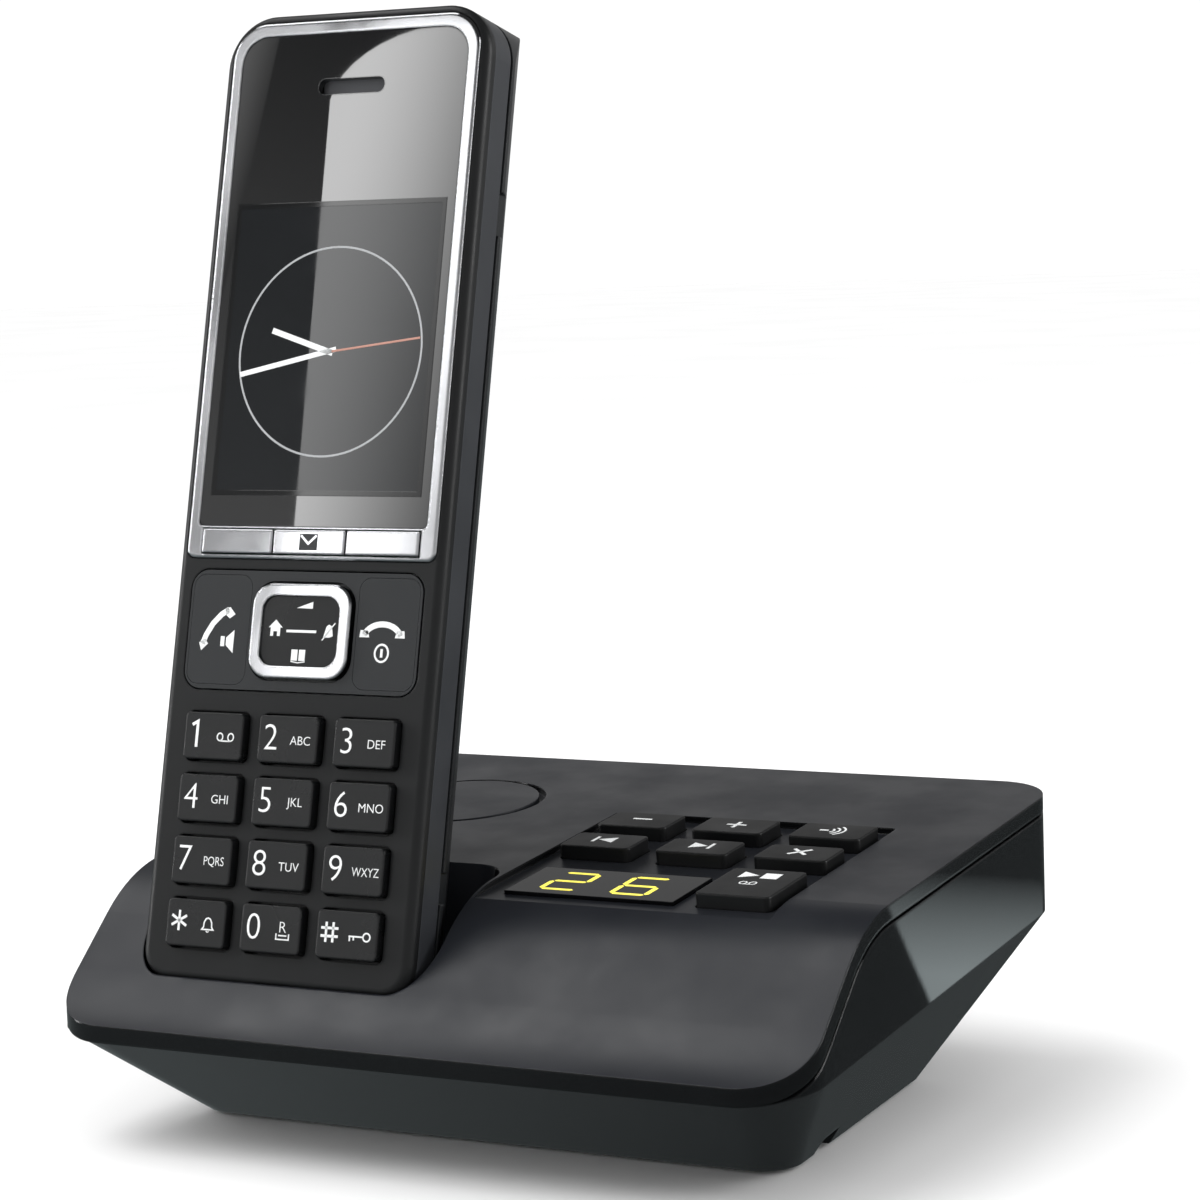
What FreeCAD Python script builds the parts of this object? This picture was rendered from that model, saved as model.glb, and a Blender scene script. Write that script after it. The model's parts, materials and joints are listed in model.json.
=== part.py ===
"""Cordless telephone: a handset with colour display standing in the cradle of its answering-machine base.

Frame: millimetres, +Z up, origin on the table under the middle of the base,
-Y towards the person who uses it.
Three sets of local axes are used. BASE is the model's own. DECK lies on the sloping top of the base, with
z = 0 on its surface. HANDSET stands in the cradle: x across, z along the handset and -y out of its front.
"""
import FreeCAD, Part
import collections
import math
import os
import re
import Sketcher

SIZES = {
    # base housing
    "base_width": 129.6, "base_depth": 109.8, "base_height": 45.3, "deck_slope": 4.3,
    "brow_setback": 34.9, "brow_radius": 27.5, "ramp_angle": 40.3, "ramp_length": 11.0, "toe_radius": 36.5,
    "plan_corner": 10.5, "foot_corner": 4.0, "rim_thickness": 2.6, "seam_gap": 0.5,
    "crease_height": 21.8, "side_taper": 0.66, "front_taper": 1.245, "back_taper": 1.093,
    "hull_depth": 26.0, "hull_rise": 30.0, "ground_gap": 0.8, "hull_wall": 2.4, "foot_radius": 5.0,
    "foot_seat": 1.2, "foot_x": 36.0, "front_foot_y": 32.9, "back_foot_y": 34.9,
    "cord_slot_x": 14.0, "cord_slot_y": 37.4, "cord_slot_width": 5.5, "cord_slot_length": 6.5,
    "cord_slot_height": 8.5,
    # fasteners of the base
    "screw_radius": 1.4, "screw_head": 2.7, "screw_head_height": 2.2, "screw_length": 14.0,
    "boss_radius": 2.4,
    "post_height": 9.0, "right_screw_x": 42.0, "back_screw_y": 24.5, "middle_screw_y": -6.75,
    "centre_screw_x": -14.0, "centre_screw_y": 26.0, "left_screw_x": -43.5, "left_screw_y": -3.0,
    # cradle
    "cradle_x": 28.72, "lean_back": 14.25, "cradle_sink": 1.0, "well_side_gap": 2.4, "well_front_gap": 0.45,
    "well_back_gap": 1.2, "well_wall": 1.6, "well_corner": 6.5, "seat_gap": 0.3,
    "prong_x": 9.0, "prong_width": 3.0, "prong_thickness": 1.6, "prong_length": 9.0, "prong_gap": 0.15,
    "prong_depth": 12.5, "carrier_height": 8.0, "carrier_rim": 4.0,
    # loudspeaker of the base
    "cap_x": 33.0, "cap_y": 23.5, "cap_radius": 13.8, "cap_thickness": 1.2, "cap_groove": 0.35,
    "cap_shift": 0.5,
    "sound_hole": 11.0, "driver_radius": 11.3, "driver_height": 6.0,
    # answering-machine keys and display
    "recess_left": 1.3, "recess_right": 49.0, "recess_back": 21.8, "recess_front": 34.0, "recess_depth": 1.1,
    "deck_key_rise": 1.2, "deck_key_corner": 0.9, "deck_key_width": 12.4, "deck_key_pitch": 17.1,
    "deck_key_first": 7.1, "upper_row_y": 13.9, "upper_row_depth": 8.5, "lower_row_y": 0.5,
    "lower_row_depth": 8.0, "play_key_y": 17.2, "play_key_depth": 14.6, "deck_key_stroke": 0.6,
    "window_x": 16.95, "window_y": 17.6, "window_width": 29.1, "window_depth": 14.0, "window_thickness": 1.2,
    "window_sink": 0.5, "display_rim": 1.5, "key_gap": 0.25, "flange_reach": 0.6, "flange_thickness": 0.6,
    "mat_thickness": 0.7, "board_thickness": 1.6, "board_front": 26.0, "board_inset": 1.0, "key_edge": 0.25,
    # sockets in the back wall
    "power_x": 42.0, "line_x": 24.0, "socket_z": 32.5, "socket_width": 11.5, "socket_height": 9.0,
    "socket_depth": 13.0, "socket_inset": 0.3, "plug_width": 9.0, "plug_height": 6.5, "plug_depth": 10.0,
    # handset housing
    "handset_width": 49.0, "handset_length": 155.8, "handset_depth": 25.0, "top_corner": 8.5,
    "bottom_corner": 5.0, "edge_round": 1.5, "bezel_depth": 2.4, "trim_depth": 7.2, "trim_thickness": 0.9,
    "face_thickness": 1.8, "shell_wall": 2.4, "back_groove": 0.7, "groove_inset": 0.6, "flank_round": 40.0,
    "flank_land": 0.8, "flat_half": 12.5, "rib_level": 14.8, "cut_margin": 5.0,
    "top_round": 12.0, "heel_round": 6.0, "back_wall": 1.8, "cavity_half": 17.0, "clip_notch_v": 123.5,
    "clip_notch_length": 7.0, "heel_notch_v": 17.5, "heel_notch_length": 5.0, "notch_bite": 0.8,
    # display of the handset
    "frame_half": 23.0, "frame_low": 67.0, "frame_high": 154.3, "frame_corner": 6.0, "frame_rise": 0.3,
    "frame_seat": 1.2, "glass_half": 21.0, "glass_low": 72.2, "glass_high": 152.0, "glass_corner": 4.5,
    "glass_rise": 0.15, "fit_gap": 0.1, "slot_v": 143.25, "slot_length": 12.2, "slot_height": 2.5,
    "lcd_v": 100.8, "lcd_width": 39.0, "lcd_height": 47.4, "frame_edge": 0.5, "glass_ledge": 1.0,
    "receiver_radius": 6.0, "frame_foot": 1.5, "glass_foot": 0.9,
    # keys of the handset
    "soft_v": 69.75, "soft_width": 13.1, "soft_height": 3.8, "soft_pitch": 13.4, "soft_rise": 0.6,
    "panel_v": 55.65, "panel_width": 42.6, "panel_height": 18.9, "panel_corner": 3.0, "panel_rise": 0.1,
    "side_key_x": 15.4, "side_key_width": 10.9, "side_key_height": 17.4, "side_key_rise": 0.1,
    "side_gap": 0.06,
    "ring_width": 18.0, "ring_height": 14.9, "ring_corner": 3.4, "ring_band": 1.85, "ring_rise": 1.0,
    "ring_edge": 0.3,
    "pad_rise": 0.6, "nav_gap": 0.45, "pivot_radius": 1.8, "rock_gap": 0.12,
    "key_width": 10.9, "key_height": 7.4, "key_corner": 0.7, "key_rise": 1.4, "number_gap": 0.35,
    "column_pitch": 13.85,
    "row_pitch": 9.8, "bottom_row_v": 9.2, "key_stroke": 0.5,
    # inside the handset
    "lcd_seat": 1.9, "board_margin": 3.2, "cell_radius": 5.15, "cell_length": 44.5, "cell_low": 36.0,
    "cell_pitch": 10.9, "cover_low": 33.0, "cover_high": 86.0, "cover_half": 12.2, "cover_gap": 0.3,
    "cover_corner": 2.0, "contact_width": 5.0, "contact_depth": 4.0, "contact_thickness": 0.8,
    "rear_speaker_v": 122.0, "rear_speaker_radius": 8.0, "rear_speaker_height": 4.0, "grille_slots": 3,
    "grille_pitch": 3.2, "grille_length": 11.0, "grille_width": 1.2, "mic_radius": 1.0, "mic_v": 3.7,
    "mic_notch_width": 7.0, "mic_notch_height": 0.8, "cell_clearance": 0.4,
}

DOC = FreeCAD.newDocument("CordlessTelephone")
SHEET = DOC.addObject("Spreadsheet::Sheet", "Sizes")
for line, (alias, size) in enumerate(SIZES.items(), start=1):
    SHEET.set(f"A{line}", alias)
    SHEET.set(f"B{line}", str(size))
    SHEET.setAlias(f"B{line}", alias)
DOC.recompute()

V = FreeCAD.Vector
X_AXIS = V(1, 0, 0)
PIECES = []


# ---- expressions -----------------------------------------------------------------------------------------

def tied(text):
    """The expression with every size in it named in full, as the document wants it."""
    return re.sub(r"[a-z]+(?:_[a-z]+)+", r"Sizes.\g<0>", text)


def number(text):
    """What an expression comes to with the sizes of the sheet."""
    return float(SHEET.evalExpression(tied(text)))


# ---- sketches --------------------------------------------------------------------------------------------

class Drawing:
    """The strokes and constraints of one sketch, handed over together so that it is solved once."""

    def __init__(self, sketch):
        self.sketch = sketch
        self.strokes = []
        self.constraints = []
        self.sizes = []

    def add(self, stroke):
        """Add a line, arc or circle and return its number."""
        self.strokes.append(stroke)
        return len(self.strokes) - 1

    def rule(self, *words):
        """Add a constraint that has no size."""
        self.constraints.append(Sketcher.Constraint(*words))

    def size(self, text, kind, *where):
        """Add a constraint whose size is tied to an expression."""
        constraint = Sketcher.Constraint(kind, *where, number(text))
        constraint.Name = f"size_{len(self.sizes)}"
        self.constraints.append(constraint)
        self.sizes.append((constraint.Name, text))

    def hold(self, stroke, end, x, y):
        """Tie one point to its place from the sketch's origin."""
        self.size(x, "DistanceX", -1, 1, stroke, end)
        self.size(y, "DistanceY", -1, 1, stroke, end)

    def finish(self):
        """Put everything into the sketch."""
        self.sketch.addGeometry(self.strokes, False)
        self.sketch.addConstraint(self.constraints)
        for name, text in self.sizes:
            self.sketch.setExpression(f"Constraints.{name}", tied(text))


def spot(x, y):
    """The point where two expressions put it."""
    return V(number(x), number(y), 0)


def disc(x, y, radius):
    """A circle."""
    def draw(drawing):
        circle = drawing.add(Part.Circle(spot(x, y), V(0, 0, 1), number(radius)))
        drawing.size(radius, "Radius", circle)
        drawing.hold(circle, 3, x, y)
    return draw


def square(left, right, low, high):
    """A rectangle between four sides."""
    corners = [(left, low), (right, low), (right, high), (left, high)]

    def draw(drawing):
        spots = [spot(*corner) for corner in corners]
        lines = [drawing.add(Part.LineSegment(spots[turn], spots[(turn + 1) % 4])) for turn in range(4)]
        for turn, line in enumerate(lines):
            drawing.rule("Coincident", line, 2, lines[(turn + 1) % 4], 1)
            drawing.rule("Vertical" if turn % 2 else "Horizontal", line)
        drawing.hold(lines[0], 1, left, low)
        drawing.hold(lines[2], 1, right, high)
    return draw


def rounded(left, right, low, high, low_corner, high_corner=None):
    """A rectangle between four sides, with one radius for its low corners and one for its high ones."""
    top_corner = high_corner or low_corner

    def draw(drawing):
        sides = [number(text) for text in (low, right, high, left)]
        small, large = number(low_corner), number(top_corner)
        centres = [
            V(sides[1] - small, sides[0] + small, 0), V(sides[1] - large, sides[2] - large, 0),
            V(sides[3] + large, sides[2] - large, 0), V(sides[3] + small, sides[0] + small, 0),
        ]
        radii = [small, large, large, small]
        lines, arcs = [], []
        for turn in range(4):
            angle = (turn - 1) * math.pi / 2
            outward = V(math.cos(angle), math.sin(angle), 0)
            start = centres[turn - 1] + outward * radii[turn - 1]
            end = centres[turn] + outward * radii[turn]
            lines.append(drawing.add(Part.LineSegment(start, end)))
            circle = Part.Circle(centres[turn], V(0, 0, 1), radii[turn])
            arcs.append(drawing.add(Part.ArcOfCircle(circle, angle, angle + math.pi / 2)))
        for turn in range(4):
            drawing.rule("Tangent", lines[turn], 2, arcs[turn], 1)
            drawing.rule("Tangent", arcs[turn], 2, lines[(turn + 1) % 4], 1)
            drawing.rule("Vertical" if turn % 2 else "Horizontal", lines[turn])
        drawing.size(low, "DistanceY", -1, 1, lines[0], 2)
        drawing.size(right, "DistanceX", -1, 1, lines[1], 1)
        drawing.size(high, "DistanceY", -1, 1, lines[2], 2)
        drawing.size(left, "DistanceX", -1, 1, lines[3], 1)
        drawing.size(low_corner, "Radius", arcs[0])
        drawing.size(top_corner, "Radius", arcs[1])
        drawing.rule("Equal", arcs[0], arcs[3])
        drawing.rule("Equal", arcs[1], arcs[2])
    return draw


def box(x, y, width, height, corner=None):
    """A rectangle about (x, y), its corners rounded when a radius is given."""
    sides = (
        f"({x}) - ({width}) / 2", f"({x}) + ({width}) / 2",
        f"({y}) - ({height}) / 2", f"({y}) + ({height}) / 2",
    )
    return rounded(*sides, corner) if corner else square(*sides)


def arc_between(start, end, radius):
    """The arc from start to end that turns left, or right when the radius is negative."""
    size = abs(radius)
    chord = end - start
    rise = math.sqrt(max(size * size - chord.Length * chord.Length / 4, 0))
    side = V(-chord.y, chord.x, 0).normalize()
    centre = (start + end) / 2 + side * math.copysign(rise, radius)
    ends = (start, end) if radius > 0 else (end, start)
    angles = [math.atan2(point.y - centre.y, point.x - centre.x) for point in ends]
    return Part.ArcOfCircle(Part.Circle(centre, V(0, 0, 1), size), angles[0], angles[1])


def path(corners):
    """A closed outline of corners (x, y), or (x, y, radius) when the way to the corner is an arc."""
    def draw(drawing):
        spots = [spot(corner[0], corner[1]) for corner in corners]
        ends = []
        for index, corner in enumerate(corners):
            start, end = spots[index - 1], spots[index]
            if len(corner) == 2:
                ends.append((drawing.add(Part.LineSegment(start, end)), 1, 2))
                continue
            radius = number(corner[2])
            stroke = drawing.add(arc_between(start, end, radius))
            drawing.size(f"abs({corner[2]})", "Radius", stroke)
            ends.append((stroke, 1, 2) if radius > 0 else (stroke, 2, 1))
        for index, corner in enumerate(corners):
            stroke, _, last = ends[index]
            following, first, _ = ends[(index + 1) % len(ends)]
            drawing.rule("Coincident", stroke, last, following, first)
            drawing.hold(stroke, last, corner[0], corner[1])
    return draw


# ---- the base's top in side view, from the back edge to the front lip ------------------------------------

SKY = "4 * base_height"


def deck_path(drop):
    """Named corners of the base's top in the Y-Z plane, sunk square to its surface by drop."""
    flat_y = "(brow_setback - base_depth / 2)"
    flat_z = "(base_height - tan(deck_slope) * (base_depth - brow_setback))"
    ramp_y = f"({flat_y} - brow_radius * (sin(ramp_angle) - sin(deck_slope)))"
    ramp_z = f"({flat_z} - brow_radius * (cos(deck_slope) - cos(ramp_angle)))"
    toe_y = f"({ramp_y} - ramp_length * cos(ramp_angle))"
    toe_z = f"({ramp_z} - ramp_length * sin(ramp_angle))"
    toe_centre_y = f"({toe_y} - toe_radius * sin(ramp_angle))"
    toe_centre_z = f"({toe_z} + toe_radius * cos(ramp_angle))"
    toe_reach = f"sqrt((toe_radius + {drop}) ^ 2 - (base_depth / 2 + {toe_centre_y}) ^ 2)"
    return {
        "back": ("base_depth / 2", f"base_height - {drop} / cos(deck_slope)"),
        "brow": (f"{flat_y} + {drop} * sin(deck_slope)", f"{flat_z} - {drop} * cos(deck_slope)"),
        "ramp": (f"{ramp_y} + {drop} * sin(ramp_angle)", f"{ramp_z} - {drop} * cos(ramp_angle)"),
        "toe": (f"{toe_y} + {drop} * sin(ramp_angle)", f"{toe_z} - {drop} * cos(ramp_angle)"),
        "lip": ("-base_depth / 2", f"{toe_centre_z} - {toe_reach}"),
        "brow_radius": f"(brow_radius - {drop})",
        "toe_radius": f"(toe_radius + {drop})",
    }


def deck_forwards(drop):
    """The top's corners from back to front."""
    named = deck_path(drop)
    return [
        named["back"], named["brow"], named["ramp"] + (named["brow_radius"],), named["toe"],
        named["lip"] + (f"-{named['toe_radius']}",),
    ]


def deck_backwards(drop):
    """The top's corners from front to back."""
    named = deck_path(drop)
    return [
        named["lip"], named["toe"] + (named["toe_radius"],), named["ramp"],
        named["brow"] + (f"-{named['brow_radius']}",), named["back"],
    ]


def above_deck(drop):
    """Everything over the top, for cutting away."""
    named = deck_path(drop)
    return deck_forwards(drop) + [
        ("-base_depth", named["lip"][1]), ("-base_depth", SKY), ("base_depth", SKY),
        ("base_depth", named["back"][1]),
    ]


# ---- the axes that pieces and cuts are made in -----------------------------------------------------------

Axes = collections.namedtuple("Axes", "plane origin tilt")
DECK_ORIGIN = ("0", "0", "base_height - tan(deck_slope) * base_depth / 2")
CRADLE_ORIGIN = ("-cradle_x", deck_path("0")["toe"][0], deck_path("0")["toe"][1] + " - cradle_sink")
ZERO = ("0", "0", "0")

TOP = Axes("XY_Plane", ZERO, "0")
FRONT = Axes("XZ_Plane", ZERO, "0")
SIDE = Axes("YZ_Plane", ZERO, "0")
DECK_TOP = Axes("XY_Plane", DECK_ORIGIN, "deck_slope")
CREASE = Axes("XY_Plane", ("0", "0", "crease_height"), "deck_slope")
CRADLE = Axes("XY_Plane", CRADLE_ORIGIN, "-lean_back")

BASE = (ZERO, "0")
DECK = (DECK_ORIGIN, "deck_slope")
HANDSET = (CRADLE_ORIGIN, "-lean_back")


# ---- bodies and features ---------------------------------------------------------------------------------

def add_body(name, frame):
    """A new piece, placed by expressions in one of the three frames."""
    body = DOC.addObject("PartDesign::Body", name)
    body.Label = name
    origin, tilt = frame
    body.Placement = FreeCAD.Placement(V(0, 0, 0), FreeCAD.Rotation(X_AXIS, 1.0))
    for axis, text in zip("xyz", origin):
        body.setExpression(f"Placement.Base.{axis}", tied(text))
    body.setExpression("Placement.Rotation.Angle", tied(tilt))
    PIECES.append(body)
    return body


def add_sketch(body, axes, outlines, level):
    """A sketch on one of the body's own planes, tilted about its x axis and lifted square to itself."""
    sketch = body.newObject("Sketcher::SketchObject", f"{body.Label}_sketch")
    planes = {item.Role: item for item in body.Origin.OriginFeatures}
    sketch.AttachmentSupport = [(planes[axes.plane], "")]
    sketch.MapMode = "FlatFace"
    sketch.AttachmentOffset = FreeCAD.Placement(V(0, 0, 0), FreeCAD.Rotation(X_AXIS, 1.0))
    x, y, z = axes.origin
    place = (x, f"{y} - ({level}) * sin({axes.tilt})", f"{z} + ({level}) * cos({axes.tilt})")
    for axis, text in zip("xyz", place):
        sketch.setExpression(f"AttachmentOffset.Base.{axis}", tied(text))
    sketch.setExpression("AttachmentOffset.Rotation.Angle", tied(axes.tilt))
    drawing = Drawing(sketch)
    for draw in outlines:
        draw(drawing)
    drawing.finish()
    return sketch


def extrude(kind, body, axes, outlines, low, high):
    """A pad or pocket of outlines between two levels square to their plane."""
    sketch = add_sketch(body, axes, outlines, low)
    feature = body.newObject(f"PartDesign::{kind}", f"{body.Label}_{kind.lower()}")
    feature.Profile = sketch
    feature.setExpression("Length", tied(f"({high}) - ({low})"))
    feature.Reversed = kind == "Pocket"
    return feature


def pad(body, axes, outlines, low, high):
    """Add material."""
    return extrude("Pad", body, axes, outlines, low, high)


def pocket(body, axes, outlines, low, high):
    """Take material away."""
    return extrude("Pocket", body, axes, outlines, low, high)


def plate(name, frame, outlines, low, high):
    """A flat piece, seen from the front of the handset or from above on the base."""
    body = add_body(name, frame)
    pad(body, FRONT if frame is HANDSET else TOP, outlines, low, high)
    return body


def dress_edges(kind, body, chosen, size_name, size):
    """Round or bevel the edges of a body that the function picks."""
    DOC.recompute()
    base = body.Tip
    names = [f"Edge{index}" for index, edge in enumerate(base.Shape.Edges, start=1) if chosen(edge)]
    if not names:
        raise RuntimeError(f"{body.Label}: no edge to dress")
    feature = body.newObject(f"PartDesign::{kind}", f"{body.Label}_{kind.lower()}")
    feature.Base = (base, names)
    feature.setExpression(size_name, tied(size))


def soften_top(body, size):
    """Round the edges round the top of a plate that has just been made."""
    DOC.recompute()
    axis = 1 if body.Tip.Profile[0].AttachmentSupport[0][0].Role == FRONT.plane else 2
    sign = -1 if axis == 1 else 1
    top = max(sign * edge.CenterOfMass[axis] for edge in body.Tip.Shape.Edges)
    dress_edges("Fillet", body, lambda edge: sign * edge.CenterOfMass[axis] > top - 0.001, "Radius", size)


# ---- base housing ----------------------------------------------------------------------------------------

PLAN = box("0", "0", "base_width", "base_depth", "plan_corner")
AROUND_PLAN = box("0", "0", "2 * base_width", "2 * base_depth")
HALF_SPAN = "base_width"
DECK_SCREW = ("right_screw_x", "middle_screw_y")
SCREW_SPOTS = [
    ("right_screw_x", "back_screw_y"), ("centre_screw_x", "centre_screw_y"),
    ("left_screw_x", "left_screw_y"),
    DECK_SCREW,
]
FOOT_SPOTS = [
    (side, y) for side in ("foot_x", "-foot_x")
    for y in ("front_foot_y - base_depth / 2", "base_depth / 2 - back_foot_y")
]


def hull_outline(depth, wall):
    """The hull on a plane parallel to the deck, depth below the crease, drawn in by a wall."""
    half = f"(base_width / 2 - side_taper * ({depth}) - {wall} * sqrt(1 + side_taper ^ 2))"
    lean = f"({depth}) * sin(deck_slope) * cos(deck_slope)"
    front_wall = f"front_taper * ({depth}) + {wall} * sqrt(1 + front_taper ^ 2)"
    back_wall = f"back_taper * ({depth}) + {wall} * sqrt(1 + back_taper ^ 2)"
    front = f"(-base_depth / 2 + {front_wall} - {lean}) / cos(deck_slope)"
    back = f"(base_depth / 2 - {back_wall} - {lean}) / cos(deck_slope)"
    corner = f"(plan_corner - (plan_corner - foot_corner) * ({depth}) / hull_depth)"
    return rounded(f"-{half}", half, front, back, corner)


def hull_block(name, wall, floor):
    """The solid hull: upright walls above the crease, tapering in below it, cut level at the floor."""
    body = add_body(name, BASE)
    low = add_sketch(body, CREASE, [hull_outline("hull_depth", wall)], "-hull_depth * cos(deck_slope)")
    high = add_sketch(body, CREASE, [hull_outline("-hull_rise", wall)], "hull_rise * cos(deck_slope)")
    loft = body.newObject("PartDesign::AdditiveLoft", f"{name}_loft")
    loft.Profile = low
    loft.Sections = [high]
    loft.Ruled = True
    inner = box("0", "0", f"base_width - 2 * {wall}", f"base_depth - 2 * {wall}", f"(plan_corner - {wall})")
    pocket(body, TOP, [AROUND_PLAN, inner], "-hull_depth", "3 * base_height")
    pocket(body, TOP, [AROUND_PLAN], "-hull_depth", floor)
    return body


def base_bottom_shell():
    """The glossy tub of the base, with its screw posts, foot seats, socket openings and cord slots."""
    body = hull_block("base_bottom_shell", "0", "ground_gap")
    core = hull_block("hull_core", "hull_wall", "ground_gap + hull_wall")
    PIECES.remove(core)
    hollow = body.newObject("PartDesign::Boolean", "hull_hollow")
    hollow.Type = "Cut"
    hollow.setObjects([core])
    drop = "(rim_thickness + seam_gap)"
    pocket(body, SIDE, [path(above_deck(drop))], f"-{HALF_SPAN}", HALF_SPAN)
    pad(body, TOP, [disc(x, y, "boss_radius + hull_wall / 2") for x, y in SCREW_SPOTS],
        "ground_gap + hull_wall / 2", "post_height")
    pad(body, TOP, [disc(x, y, "foot_radius + hull_wall / 2") for x, y in FOOT_SPOTS],
        "ground_gap + hull_wall / 2", "ground_gap + foot_seat + hull_wall")
    pocket(body, TOP, [disc(x, y, "foot_radius") for x, y in FOOT_SPOTS], "0", "ground_gap + foot_seat")
    pocket(body, TOP, [disc(x, y, "screw_radius + fit_gap") for x, y in SCREW_SPOTS], "0", "post_height")
    pocket(body, TOP, [disc(x, y, "screw_head + fit_gap") for x, y in SCREW_SPOTS], "0",
           "post_height - hull_wall - fit_gap")
    openings = [
        box(x, "socket_z", "socket_width + 2 * fit_gap", "socket_height + 2 * fit_gap")
        for x in ("power_x", "line_x")
    ]
    pocket(body, FRONT, openings, "-base_depth / 2 - hull_wall", "-base_depth / 2 + 2 * hull_wall")
    slot = box("base_width / 2 - cord_slot_x", "cord_slot_y - base_depth / 2", "cord_slot_width",
               "cord_slot_length", "deck_key_corner")
    pocket(body, TOP, [slot], "0", "cord_slot_height")
    return body


def well_outline(gap):
    """The cradle's well around the handset's foot, across and from front to back."""
    half = f"(handset_width / 2 + well_side_gap + {gap})"
    return rounded(f"-{half}", half, f"(-well_front_gap - {gap})",
                   f"(handset_depth + well_back_gap + {gap})",
                   f"(well_corner + {gap})")


def prong_outlines(gap):
    """The two charging prongs seen along the handset."""
    return [
        box(x, "prong_depth", f"prong_width + 2 * {gap}", f"prong_thickness + 2 * {gap}")
        for x in ("prong_x", "-prong_x")
    ]


SKIRT = "2 * flange_reach"


def deck_keys():
    """Name, centre, width and depth of each key on the deck."""
    keys = []
    rows = (
        ("upper_row_y", "upper_row_depth", ("minus_key", "plus_key", "page_key")),
        ("lower_row_y", "lower_row_depth", ("previous_key", "next_key", "delete_key")),
    )
    for y, depth, names in rows:
        for column, name in enumerate(names):
            keys.append((name, f"deck_key_first + {column} * deck_key_pitch", y, "deck_key_width", depth))
    keys.append(("play_stop_key", "deck_key_first + 2 * deck_key_pitch", "-play_key_y", "deck_key_width",
                 "play_key_depth"))
    return keys


def base_top_shell():
    """The satin top of the base: level deck, brow, ramp and lip, with the cradle's well under it."""
    body = add_body("base_top_shell", BASE)
    deepest = "-(seat_gap + well_wall)"
    pad(body, CRADLE, [well_outline("well_wall")], deepest, "base_height")
    pad(body, TOP, [disc(x, y, "boss_radius") for x, y in SCREW_SPOTS], "post_height",
        "base_height - rim_thickness")
    pocket(body, SIDE, [path(above_deck("0"))], f"-{HALF_SPAN}", HALF_SPAN)
    pad(body, SIDE, [path(deck_forwards("0") + deck_backwards("rim_thickness"))], "-base_width / 2",
        "base_width / 2")
    pocket(body, TOP, [AROUND_PLAN, PLAN], "0", "2 * base_height")
    pocket(body, CRADLE, [well_outline("0")], "-seat_gap", "2 * base_height")
    pocket(body, CRADLE, prong_outlines("fit_gap"), f"2 * {deepest}", "0")
    pocket(body, TOP, [disc(x, y, "screw_radius") for x, y in SCREW_SPOTS], "0",
           "post_height + screw_length / 2")
    recess = rounded("-recess_left", "recess_right", "-recess_front", "recess_back", "deck_key_corner")
    pocket(body, DECK_TOP, [recess], "-recess_depth", "recess_depth * 4")
    openings = [
        box(x, y, f"{width} + 2 * key_gap", f"{depth} + 2 * key_gap", "(deck_key_corner + key_gap)")
        for _, x, y, width, depth in deck_keys()
    ]
    openings.append(box("window_x", "-window_y", "window_width + 2 * fit_gap", "window_depth + 2 * fit_gap"))
    pocket(body, DECK_TOP, openings, "-3 * rim_thickness", "rim_thickness")
    below_wall = [
        box(x, y, f"{width} + {SKIRT} + 2 * key_gap", f"{depth} + {SKIRT} + 2 * key_gap")
        for _, x, y, width, depth in deck_keys()[-1:]
    ]
    pocket(body, DECK_TOP, below_wall, "-3 * rim_thickness", "-rim_thickness")
    pocket(body, DECK_TOP, [disc("-cap_x + cap_shift", "cap_y", "cap_radius + cap_groove + cap_shift")],
           "-cap_thickness", "rim_thickness")
    pocket(body, DECK_TOP, [disc("-cap_x", "cap_y", "sound_hole")], "-3 * rim_thickness", "rim_thickness")
    return body


def base_feet():
    """Four rubber discs in the seats under the base."""
    plate("base_feet", BASE, [disc(x, y, "foot_radius") for x, y in FOOT_SPOTS], "0",
          "ground_gap + foot_seat")


def base_screws():
    """The four screws that come up through the posts into the top shell."""
    body = plate("base_screws", BASE, [disc(x, y, "screw_head") for x, y in SCREW_SPOTS],
                 "post_height - hull_wall - fit_gap - screw_head_height",
                 "post_height - hull_wall - fit_gap")
    pad(body, TOP, [disc(x, y, "screw_radius") for x, y in SCREW_SPOTS],
        "post_height - hull_wall - 2 * fit_gap",
        "post_height + screw_length / 2 - 2 * fit_gap")


# ---- base fittings ---------------------------------------------------------------------------------------

FLANGE_TOP = "-(rim_thickness + fit_gap)"
MAT_TOP = "-(rim_thickness + flange_thickness + deck_key_stroke + 2 * fit_gap)"
BOARD_TOP = f"{MAT_TOP} - mat_thickness"


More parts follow.
